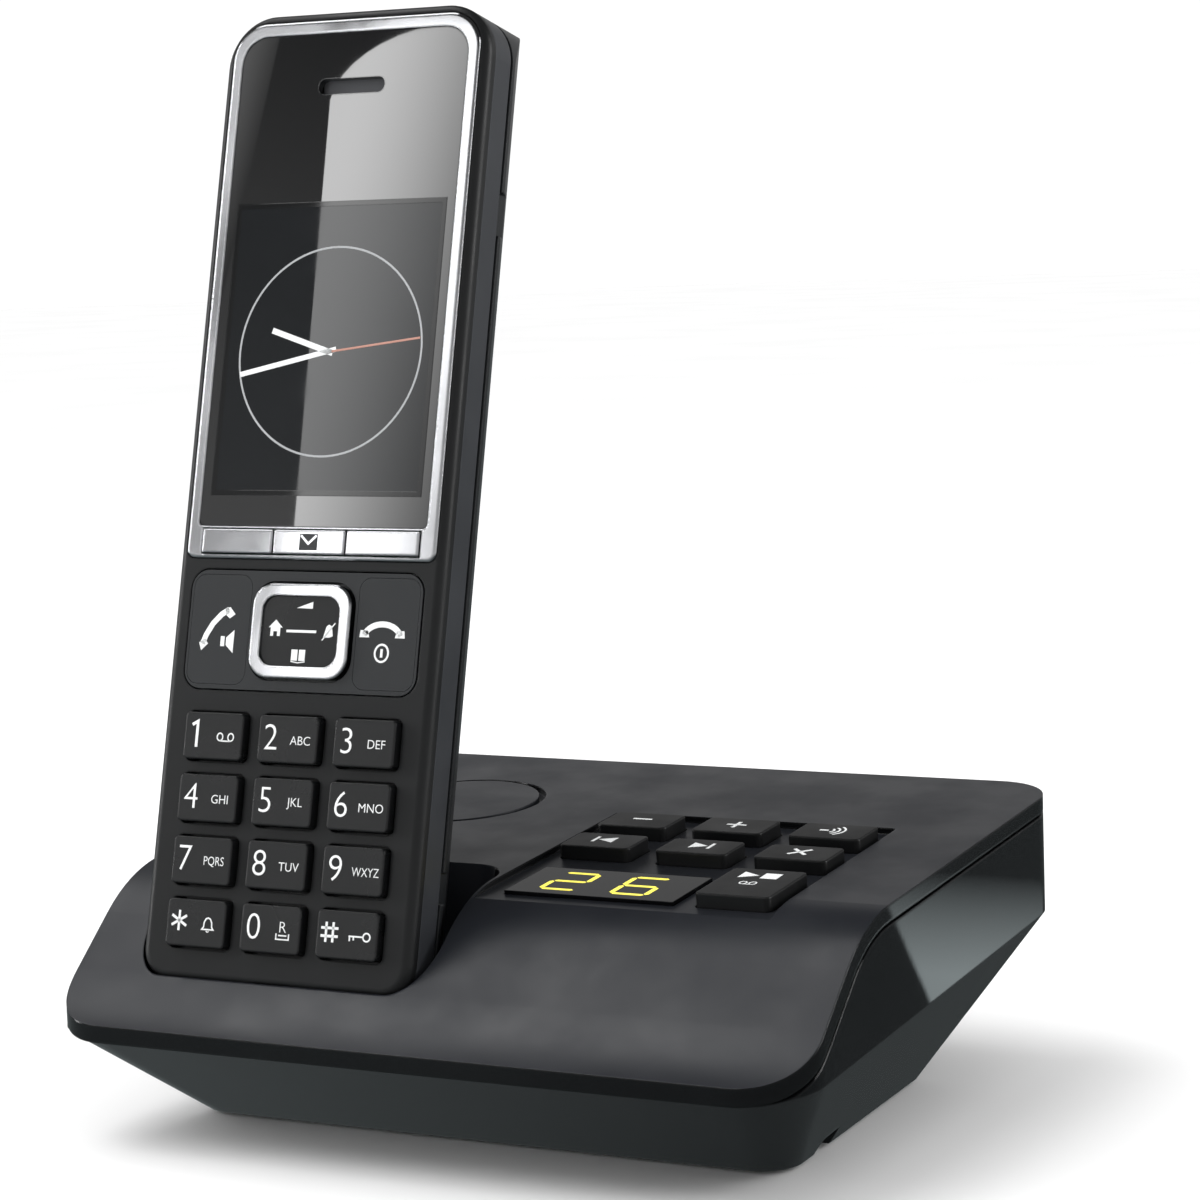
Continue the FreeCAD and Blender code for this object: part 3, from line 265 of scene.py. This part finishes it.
class Ink:
    """Flat outlines in millimetres about one point, made into one thin closed piece."""

    def __init__(self):
        self.faces = []

    def shape(self, *points):
        """A filled outline."""
        self.faces.append(list(points))

    def bar(self, x, y, width, height):
        """A filled rectangle about (x, y)."""
        self.shape((x - width / 2, y - height / 2), (x + width / 2, y - height / 2),
                   (x + width / 2, y + height / 2), (x - width / 2, y + height / 2))

    def stroke(self, points, width, closed=False):
        """A line of even width with mitred corners."""
        count = len(points)
        left, right = [], []
        for index, (x, y) in enumerate(points):
            before = points[index - 1] if closed or index else points[index]
            after = points[(index + 1) % count] if closed or index < count - 1 else points[index]
            inward = Vector((x - before[0], y - before[1]))
            outward = Vector((after[0] - x, after[1] - y))
            inward = inward.normalized() if inward.length else outward.normalized()
            outward = outward.normalized() if outward.length else inward
            middle = (inward + outward).normalized()
            reach = width / 2 / max(middle.dot(inward), 0.35)
            left.append((x - middle.y * reach, y + middle.x * reach))
            right.append((x + middle.y * reach, y - middle.x * reach))
        for index in range(count if closed else count - 1):
            after = (index + 1) % count
            self.shape(right[index], right[after], left[after], left[index])

    def arc(self, x, y, across, up, width, start=0.0, end=360.0, steps=24):
        """A stroke along part of an ellipse about (x, y)."""
        whole = abs(end - start) >= 360
        turns = [math.radians(start + (end - start) * step / steps) for step in range(steps + (not whole))]
        self.stroke([(x + across * math.cos(turn), y + up * math.sin(turn)) for turn in turns], width, whole)

    def words(self, text, x, y, height, squeeze=1.0, weight=0.0):
        """Letters about (x, y), with capitals of that height."""
        curve = bpy.data.curves.new("letters", "FONT")
        curve.body = text
        curve.resolution_u = 4
        curve.offset = weight
        letters = bpy.data.objects.new("letters", curve)
        bpy.context.scene.collection.objects.link(letters)
        bpy.context.view_layer.update()
        flat = bpy.data.meshes.new_from_object(letters.evaluated_get(bpy.context.evaluated_depsgraph_get()))
        spots = [point.co for point in flat.vertices]
        low = [min(spot[axis] for spot in spots) for axis in (0, 1)]
        high = [max(spot[axis] for spot in spots) for axis in (0, 1)]
        scale = height / CAPITAL
        for face in flat.polygons:
            self.shape(*[(x + (spots[corner].x - (low[0] + high[0]) / 2) * scale * squeeze,
                          y + (spots[corner].y - (low[1] + high[1]) / 2) * scale)
                         for corner in face.vertices])
        bpy.data.objects.remove(letters)
        bpy.data.meshes.remove(flat)
        bpy.data.curves.remove(curve)

    def make(self, name, plane, u, v, top, body, material, thickness=0.03, sunk=0.01):
        """The piece, lying on the surface at height top and riding on a body."""
        mesh = bpy.data.meshes.new(name)
        work = bmesh.new()
        for points in self.faces:
            work.faces.new([work.verts.new(plane.place(u + x, v + y, top - sunk)) for x, y in points])
        bmesh.ops.remove_doubles(work, verts=work.verts[:], dist=0.002 * MM)
        bmesh.ops.dissolve_degenerate(work, dist=0.001 * MM, edges=work.edges[:])
        raised = bmesh.ops.extrude_face_region(work, geom=work.faces[:])
        corners = [item for item in raised["geom"] if isinstance(item, bmesh.types.BMVert)]
        bmesh.ops.translate(work, vec=plane.w * (thickness + sunk) * MM, verts=corners)
        bmesh.ops.recalc_face_normals(work, faces=work.faces[:])
        work.to_mesh(mesh)
        work.free()
        mesh.materials.append(material)
        piece = bpy.data.objects.new(name, mesh)
        bpy.context.scene.collection.objects.link(piece)
        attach(piece, body)


def centre_of(plane, node):
    """Centre (u, v) and top w of a node."""
    low, high = plane.reach(node)
    return (low[0] + high[0]) / 2, (low[1] + high[1]) / 2, high[2]


def print_on(plane, node, body, ink, material=WHITE, lift=0.0, suffix="sign"):
    """Put printing in the middle of a node's top."""
    u, v, top = centre_of(plane, node)
    ink.make(f"{node}_{suffix}", plane, u, v, top + lift, body, material)


# ---- signs of the number keys ----------------------------------------------------------------------------

DIGIT_X, DIGIT_Y, DIGIT_HEIGHT = -3.1, 0.3, 4.3
SIDE_X, SIDE_Y, SIDE_HEIGHT = 2.3, -0.1, 1.45


def voicemail(ink, x, y):
    """Two reels joined by a line."""
    for side in (-1, 1):
        ink.arc(x + side * 1.0, y, 0.52, 0.60, 0.22, steps=16)
    ink.bar(x, y - 0.63, 1.9, 0.22)


def bell(ink, x, y):
    """A bell outline with its clapper."""
    ink.stroke([(x - 1.05, y - 0.75), (x - 0.75, y - 0.35), (x - 0.70, y + 0.35), (x - 0.38, y + 0.92),
                (x, y + 1.05), (x + 0.38, y + 0.92), (x + 0.70, y + 0.35), (x + 0.75, y - 0.35),
                (x + 1.05, y - 0.75)], 0.24, closed=True)
    ink.arc(x, y - 0.95, 0.22, 0.20, 0.16, 180, 360, 8)


def recall(ink, x, y):
    """The letter for recall above a tray."""
    ink.words("R", x, y + 0.55, 1.8, weight=-0.01)
    ink.stroke([(x - 1.15, y - 0.45), (x - 1.15, y - 1.35), (x + 1.15, y - 1.35), (x + 1.15, y - 0.45)],
               0.22)
    ink.bar(x, y - 0.75, 1.5, 0.22)


def lock_key(ink, x, y):
    """A key that lies on its side."""
    ink.arc(x + 1.25, y, 0.62, 0.62, 0.26, steps=18)
    ink.bar(x - 0.65, y, 2.55, 0.26)
    for back, drop in ((-1.75, 0.62), (-1.05, 0.45)):
        ink.bar(x + back, y - 0.13 - drop / 2, 0.26, drop)


NUMBER_SIGNS = {
    "key_1": ("1", voicemail), "key_2": ("2", "ABC"), "key_3": ("3", "DEF"), "key_4": ("4", "GHI"),
    "key_5": ("5", "JKL"), "key_6": ("6", "MNO"), "key_7": ("7", "PQRS"), "key_8": ("8", "TUV"),
    "key_9": ("9", "WXYZ"), "key_star": ("*", bell), "key_0": ("0", recall), "key_hash": ("#", lock_key),
}
for name, (digit, side) in NUMBER_SIGNS.items():
    ink = Ink()
    if digit == "*":
        for turn in (90, 30, -30):
            reach = Vector((math.cos(math.radians(turn)), math.sin(math.radians(turn)))) * 1.6
            ink.stroke([(DIGIT_X - reach.x, DIGIT_Y - reach.y), (DIGIT_X + reach.x, DIGIT_Y + reach.y)],
                       0.42)
    elif digit == "1":
        ink.stroke([(DIGIT_X - 0.95, DIGIT_Y + 1.35), (DIGIT_X + 0.05, DIGIT_Y + 1.9),
                    (DIGIT_X + 0.05, DIGIT_Y - 2.15)], 0.5)
    elif digit == "#":
        for side_step in (-0.62, 0.62):
            ink.bar(DIGIT_X + side_step, DIGIT_Y, 0.42, 3.1)
            ink.bar(DIGIT_X, DIGIT_Y + side_step, 3.1, 0.42)
    else:
        ink.words(digit, DIGIT_X, DIGIT_Y, DIGIT_HEIGHT, squeeze=0.98, weight=-0.012)
    if isinstance(side, str):
        ink.words(side, SIDE_X, SIDE_Y, SIDE_HEIGHT, squeeze=0.98 if len(side) == 3 else 0.82, weight=-0.004)
    else:
        side(ink, SIDE_X, SIDE_Y)
    print_on(HAND, name, name, ink)


# ---- signs of the function keys --------------------------------------------------------------------------

ink = Ink()
ink.bar(0, 0, 3.3, 2.6)
print_on(HAND, "message_key", "message_key", ink, DARK)
ink = Ink()
ink.stroke([(-1.45, 1.05), (0, -0.25), (1.45, 1.05)], 0.38)
print_on(HAND, "message_key", "message_key", ink, FINISHES["chrome"], 0.02, "flap")

PAD_U, PAD_V, PAD_W = centre_of(HAND, "navigation_pad")
ink = Ink()
ink.shape((-1.0, 3.65), (1.95, 3.6), (1.95, 4.7))
ink.shape((-4.6, 1.75), (-5.9, 0.5), (-3.3, 0.5))
ink.shape((-5.5, 0.5), (-5.5, -0.85), (-4.95, -0.85), (-4.95, -0.1), (-4.25, -0.1), (-4.25, -0.85),
          (-3.7, -0.85), (-3.7, 0.5))
ink.bar(0.2, 0.0, 5.5, 0.42)
ink.shape((4.3, -0.85), (4.75, 0.85), (5.2, 1.2), (5.75, 0.95), (6.05, -0.6), (5.4, -0.85))
ink.stroke([(4.1, -1.3), (6.3, 1.45)], 0.2)
ink.bar(-0.7, -3.75, 1.15, 1.75)
ink.bar(0.7, -3.75, 1.15, 1.75)
ink.stroke([(-1.3, -4.75), (0.0, -4.95), (1.3, -4.75)], 0.18)
ink.make("navigation_pad_signs", HAND, PAD_U, PAD_V, PAD_W, "navigation_key", WHITE)

CALL_U, CALL_V, CALL_W = centre_of(HAND, "call_key")
ink = Ink()
ink.stroke([(-3.0, -2.35), (-2.4, -0.9), (-1.3, 0.9), (0.2, 2.4), (1.5, 3.15)], 0.95)
ink.shape((-3.65, -2.2), (-3.15, -3.45), (-1.95, -2.35), (-2.55, -1.55))
ink.shape((0.75, 3.35), (1.7, 3.55), (2.75, 2.45), (1.75, 1.75), (1.1, 2.2))
ink.bar(0.75, -1.9, 0.75, 1.6)
ink.shape((1.4, -2.5), (2.85, -3.75), (2.85, -0.05), (1.4, -1.3))
ink.make("call_key_sign", HAND, CALL_U, CALL_V, CALL_W, "call_key", WHITE)

END_U, END_V, END_W = centre_of(HAND, "end_key")
ink = Ink()
ink.arc(-0.75, -1.0, 3.45, 2.55, 0.95, 18, 162, 16)
for turn in (-1, 1):
    ink.shape(*[(-0.75 + turn * x, y) for x, y in ((2.3, -0.55), (4.1, -0.55), (3.95, 0.6), (2.6, 0.5))])
ink.arc(-0.6, -2.95, 1.2, 1.35, 0.34)
ink.bar(-0.6, -2.95, 0.45, 1.35)
ink.make("end_key_sign", HAND, END_U, END_V, END_W, "end_key", WHITE)


# ---- signs of the deck keys ------------------------------------------------------------------------------

def deck_sign(node, *draws):
    """Printing on a deck key: each draw is a method name of Ink and what it is given."""
    drawn = Ink()
    for method, *given in draws:
        getattr(drawn, method)(*given)
    print_on(DECK, node, node, drawn)


deck_sign("minus_key", ("bar", 0, 0.4, 3.4, 0.6))
deck_sign("plus_key", ("bar", 0, 0.3, 3.4, 0.6), ("bar", 0, 0.3, 0.6, 3.4))
deck_sign("page_key", ("bar", -1.6, 0.2, 1.5, 0.6), ("arc", -0.9, 0.2, 1.0, 1.0, 0.35, -60, 60, 8),
          ("arc", -0.9, 0.2, 1.9, 1.9, 0.35, -60, 60, 10), ("arc", -0.9, 0.2, 2.8, 2.8, 0.35, -55, 55, 12))
deck_sign("previous_key", ("bar", -1.7, 0.4, 0.55, 3.0), ("shape", (-1.2, 0.4), (1.7, -1.1), (1.7, 1.9)))
deck_sign("next_key", ("bar", 1.7, 0.4, 0.55, 3.0), ("shape", (-1.7, -1.1), (1.2, 0.4), (-1.7, 1.9)))
deck_sign("delete_key", ("stroke", [(-1.5, -1.1), (1.5, 1.9)], 0.6),
          ("stroke", [(-1.5, 1.9), (1.5, -1.1)], 0.6))
deck_sign("play_stop_key", ("shape", (-3.4, 2.2), (-0.4, 3.8), (-3.4, 5.4)), ("bar", 1.6, 3.8, 2.8, 2.8),
          ("arc", -1.2, -0.4, 0.55, 0.7, 0.25, 0, 360, 14), ("arc", 0.4, -0.4, 0.55, 0.7, 0.25, 0, 360, 14),
          ("bar", -0.4, -1.1, 1.6, 0.25))


# ---- message display -------------------------------------------------------------------------------------

DIGIT_WIDTH, DIGIT_DEPTH, SEGMENT_WIDTH = 5.9, 9.0, 0.85
SEGMENTS = {2: "abged", 6: "afgedc"}


def segment(ink, start, end, width):
    """A straight segment with pointed ends."""
    along = Vector((end[0] - start[0], end[1] - start[1]))
    step = along.normalized() * width / 2
    side = Vector((-step.y, step.x))
    first = Vector(start) + step * 0.35
    last = Vector(end) - step * 0.35
    ink.shape(first, first + step - side, last - step - side, last, last - step + side, first + step + side)


WINDOW_U, WINDOW_V, WINDOW_W = centre_of(DECK, "display_window")
for place, (digit, middle) in enumerate(((2, -6.6), (6, 5.6))):
    half, high = DIGIT_WIDTH / 2, DIGIT_DEPTH / 2
    ends = {
        "a": ((-half, high), (half, high)), "g": ((-half, 0), (half, 0)),
        "d": ((-half, -high), (half, -high)),
        "f": ((-half, 0), (-half, high)), "b": ((half, 0), (half, high)),
        "e": ((-half, -high), (-half, 0)), "c": ((half, -high), (half, 0)),
    }
    ink = Ink()
    for letter in SEGMENTS[digit]:
        segment(ink, *ends[letter], SEGMENT_WIDTH)
    ink.make(f"message_digit_{place}", DECK, WINDOW_U + middle, WINDOW_V, WINDOW_W, "base", SEGMENT, 0.02)


# ---- handset screen --------------------------------------------------------------------------------------

GLASS_TOP = centre_of(HAND, "display_glass")[2]
GLASS_PRINT = 0.02
LCD_V, LCD_WIDTH, LCD_HEIGHT, LCD_BORDER = 100.8, 39.0, 47.4, 0.9
CLOCK_U, CLOCK_V, CLOCK_RADIUS = 0.4, 100.2, 16.8


def on_glass(name, ink, material, lift=0.0):
    """Printing on the handset's glass, measured from the middle of the handset's foot."""
    ink.make(name, HAND, FACE_U, FACE_V, GLASS_TOP + lift, "handset", material, GLASS_PRINT)


ink = Ink()
ink.bar(0, LCD_V, LCD_WIDTH, LCD_HEIGHT)
on_glass("screen_film", ink, FILM)
ink = Ink()
half, high = (LCD_WIDTH - LCD_BORDER) / 2, (LCD_HEIGHT - LCD_BORDER) / 2
ink.stroke([(-half, LCD_V - high), (half, LCD_V - high), (half, LCD_V + high), (-half, LCD_V + high)],
           LCD_BORDER, closed=True)
on_glass("screen_border", ink, BORDER, 0.012)
ink = Ink()
ink.arc(CLOCK_U, CLOCK_V, CLOCK_RADIUS, CLOCK_RADIUS, 0.34, steps=96)
on_glass("clock_face", ink, CLOCK, 0.012)
ink = Ink()
ink.stroke([(CLOCK_U + 0.6, CLOCK_V - 0.3), (-10.6, 103.7)], 0.95)
ink.stroke([(CLOCK_U + 1.2, CLOCK_V + 0.35), (-16.0, 96.6)], 0.85)
on_glass("clock_hands", ink, WHITE, 0.015)
ink = Ink()
ink.stroke([(CLOCK_U + 0.4, CLOCK_V), (16.8, 102.2)], 0.35)
on_glass("clock_second_hand", ink, ROSE, 0.03)


# ---- floor, lights and camera ----------------------------------------------------------------------------

def flat_stage(name, points, material):
    """A flat stage piece through points."""
    mesh = bpy.data.meshes.new(name)
    mesh.from_pydata(points, [], [list(range(len(points)))])
    mesh.materials.append(material)
    piece = bpy.data.objects.new(name, mesh)
    bpy.context.scene.collection.objects.link(piece)
    return piece


floor_paint = Nodes("floor")
floor_paint.wire(floor_paint.blend(floor_paint.span(floor_paint.noise(160.0), 0.0, 1.0),
                                   (0.80, 0.80, 0.80, 1), (0.83, 0.83, 0.83, 1)), "Base Color")
floor_paint.wire(floor_paint.span(floor_paint.noise(20.0), 0.8, 0.9), "Roughness")
floor_paint.shader.inputs["Specular IOR Level"].default_value = 0.2

# Polished pieces mirror the floor dimmer than it looks, with one soft card of light beside the base.
# The card starts at a slanted edge, keeps to the base's right and back, and fades towards the back.
DIM_SPAN, DIM_LEFT, DIM_RIGHT = (-0.06, 0.05), 0.20, 0.08
CARD_SLANT, CARD_OFFSET, CARD_EDGE = -1.9, 0.110, (0.0, 0.002)
CARD_BESIDE, CARD_BEHIND = (0.085, 0.095), (0.070, 0.078)
CARD_GLOW, CARD_FADE = 1.3, (0.10, 0.19)
CARD_COLOUR = (0.88, 1.0, 1.02, 1.0)
spot = floor_paint.add("SeparateXYZ", {0: floor_paint.add("TexCoord").outputs["Object"]})
floor_x, floor_y = spot.outputs["X"], spot.outputs["Y"]
dim = floor_paint.span(floor_x, DIM_LEFT, DIM_RIGHT, *DIM_SPAN)
slanted = floor_paint.maths("MULTIPLY_ADD", floor_x, CARD_SLANT, CARD_OFFSET)
inside = floor_paint.span(floor_paint.maths("ADD", slanted, floor_y), 0.0, 1.0, *CARD_EDGE)
fading = floor_paint.span(floor_y, CARD_GLOW, 0.0, *CARD_FADE)
beside = floor_paint.span(floor_x, 0.0, 1.0, *CARD_BESIDE)
behind = floor_paint.span(floor_y, 0.0, 1.0, *CARD_BEHIND)
card = floor_paint.maths("MULTIPLY", floor_paint.maths("MULTIPLY", inside, fading),
                       floor_paint.maths("MULTIPLY", beside, behind))
power = floor_paint.maths("ADD", card, dim)
mirror = floor_paint.add("Emission", {"Color": CARD_COLOUR, "Strength": power})
glossy = floor_paint.add("LightPath").outputs["Is Glossy Ray"]
either = floor_paint.add("MixShader", {0: glossy, 1: floor_paint.shader.outputs[0], 2: mirror.outputs[0]})
floor_paint.tree.links.new(either.outputs[0], floor_paint.tree.nodes["Material Output"].inputs["Surface"])

FLOOR_RADIUS, FLOOR_SIDES = 6.0, 64
floor_turns = [math.tau * step / FLOOR_SIDES for step in range(FLOOR_SIDES)]
floor_edge = [(FLOOR_RADIUS * math.cos(turn), FLOOR_RADIUS * math.sin(turn), 0) for turn in floor_turns]
flat_stage("floor", floor_edge, floor_paint.material)

# A tall softbox in front and to the left, bright along its left side, which the glass mirrors.
BOX_Y = -1.0
BOX_FOOT, BOX_KNEE, BOX_SHOULDER = (-0.690, 0.16), (-0.694, 0.41), (-0.752, 0.755)
BOX_TOP, BOX_RIGHT, BOX_ROUND = 0.80, -0.25, 0.07
corner_turns = [math.radians(180 - 10 * step) for step in range(10)]
BOX_EDGE = [BOX_FOOT, BOX_KNEE] + [
    (BOX_SHOULDER[0] + BOX_ROUND * (1 + math.cos(turn)),
     BOX_SHOULDER[1] + (BOX_TOP - BOX_SHOULDER[1]) * math.sin(turn)) for turn in corner_turns]


def glow(name, bright, dim, start, end):
    """Light that fades along X from bright at start to dim at end."""
    made = Nodes(name)
    made.tree.nodes.remove(made.shader)
    place = made.add("TexCoord").outputs["Object"]
    across = made.add("SeparateXYZ", {0: place}).outputs["X"]
    power = made.add("MapRange", {"Value": across, "From Min": start, "From Max": end, "To Min": bright,
                                  "To Max": dim}, interpolation_type="SMOOTHSTEP")
    light = made.add("Emission", {"Strength": power.outputs["Result"]})
    output = made.tree.nodes["Material Output"]
    made.tree.links.new(light.outputs["Emission"], output.inputs["Surface"])
    return made.material


BOX_EDGE += [(BOX_RIGHT, BOX_TOP), (BOX_RIGHT, BOX_FOOT[1])]
softbox = flat_stage("softbox", [(x, BOX_Y, z) for x, z in BOX_EDGE],
                     glow("softbox", 4.4, 0.5, -0.74, -0.60))
side_glow = flat_stage("side_glow", [(-1.1, BOX_Y, 0.30), (-0.78, BOX_Y, 0.30), (-0.80, BOX_Y, 0.90),
                                     (-1.1, BOX_Y, 0.90)], glow("side_glow", 0.8, 0.0, -0.83, -0.775))
for panel in (softbox, side_glow):
    panel.visible_camera = False
    panel.visible_shadow = False


def area_light(name, spot, aim, width, height, power):
    """A soft rectangular light that looks at a point."""
    lamp = bpy.data.lights.new(name, "AREA")
    lamp.shape = "RECTANGLE"
    lamp.size, lamp.size_y = width, height
    lamp.energy = power
    placed = bpy.data.objects.new(name, lamp)
    placed.location = spot
    placed.rotation_mode = "QUATERNION"
    placed.rotation_quaternion = (Vector(aim) - Vector(spot)).to_track_quat("-Z", "Y")
    bpy.context.scene.collection.objects.link(placed)
    placed.visible_camera = False


area_light("overhead", (-0.50, 0.04, 0.95), (0, 0, 0.05), width=0.55, height=0.45, power=2.2)
area_light("left_strip", (-0.95, -0.30, 0.35), (0, 0, 0.09), width=0.15, height=0.7, power=3.0)
area_light("right_strip", (0.95, 0.35, 0.45), (0, 0, 0.06), width=0.3, height=0.6, power=4.0)

sun = bpy.data.lights.new("sky", "SUN")
sun.energy = 1.3
sun.angle = math.radians(40)
sun_spot = bpy.data.objects.new("sky", sun)
sun_spot.visible_glossy = False
sun_spot.rotation_mode = "QUATERNION"
sun_spot.rotation_quaternion = Vector((0.42, 0.30, -0.85)).to_track_quat("-Z", "Y")
bpy.context.scene.collection.objects.link(sun_spot)

world = bpy.data.worlds.new("studio")
bpy.context.scene.world = world
world.use_nodes = True
tree = world.node_tree
tree.nodes.clear()


def world_node(kind, **settings):
    """A node of the studio's surroundings."""
    node = tree.nodes.new(f"ShaderNode{kind}")
    for key, value in settings.items():
        setattr(node, key, value)
    return node


rays = world_node("LightPath")
height = world_node("SeparateXYZ")
tree.links.new(world_node("TexCoord").outputs["Generated"], height.inputs[0])
sky = world_node("MapRange", interpolation_type="SMOOTHSTEP")
for socket, value in (("From Min", 0.26), ("From Max", 0.52), ("To Min", 0.48), ("To Max", 0.03)):
    sky.inputs[socket].default_value = value
tree.links.new(height.outputs["Z"], sky.inputs["Value"])
mirrored = world_node("Background")
tree.links.new(sky.outputs["Result"], mirrored.inputs["Strength"])
fill = world_node("Background")
fill.inputs["Strength"].default_value = 0.95
backdrop = world_node("Background")
backdrop.inputs["Strength"].default_value = 1.05
soft = world_node("MixShader")
tree.links.new(rays.outputs["Is Diffuse Ray"], soft.inputs[0])
tree.links.new(mirrored.outputs[0], soft.inputs[1])
tree.links.new(fill.outputs[0], soft.inputs[2])
seen = world_node("MixShader")
tree.links.new(rays.outputs["Is Camera Ray"], seen.inputs[0])
tree.links.new(soft.outputs[0], seen.inputs[1])
tree.links.new(backdrop.outputs[0], seen.inputs[2])
for background in (mirrored, fill, backdrop):
    background.inputs["Color"].default_value = (1, 1, 1, 1)
tree.links.new(seen.outputs[0], world_node("OutputWorld").inputs["Surface"])
bpy.context.scene.view_settings.view_transform = "Standard"

AZIMUTH, ELEVATION, ROLL = (math.radians(angle) for angle in (27.68, 6.30, -1.94))
CAMERA_SPOT = Vector((255.5, -471.3, 142.4)) * MM
forward = Vector((-math.sin(AZIMUTH) * math.cos(ELEVATION), math.cos(AZIMUTH) * math.cos(ELEVATION),
                  -math.sin(ELEVATION)))
level = Vector((math.cos(AZIMUTH), math.sin(AZIMUTH), 0))
upward = level.cross(forward)
across = level * math.cos(ROLL) + upward * math.sin(ROLL)
above = upward * math.cos(ROLL) - level * math.sin(ROLL)
camera = bpy.data.cameras.new("camera")
camera.sensor_width = 36
camera.lens = 101.03
camera.shift_x, camera.shift_y = -0.0008, -0.012
camera.dof.use_dof = False
camera.clip_start, camera.clip_end = 0.01, 50
viewer = bpy.data.objects.new("camera", camera)
bpy.context.scene.collection.objects.link(viewer)
turn = [(across[row], above[row], -forward[row]) for row in range(3)]
viewer.matrix_world = Matrix.Translation(CAMERA_SPOT) @ Matrix(turn).to_4x4()
bpy.context.scene.camera = viewer
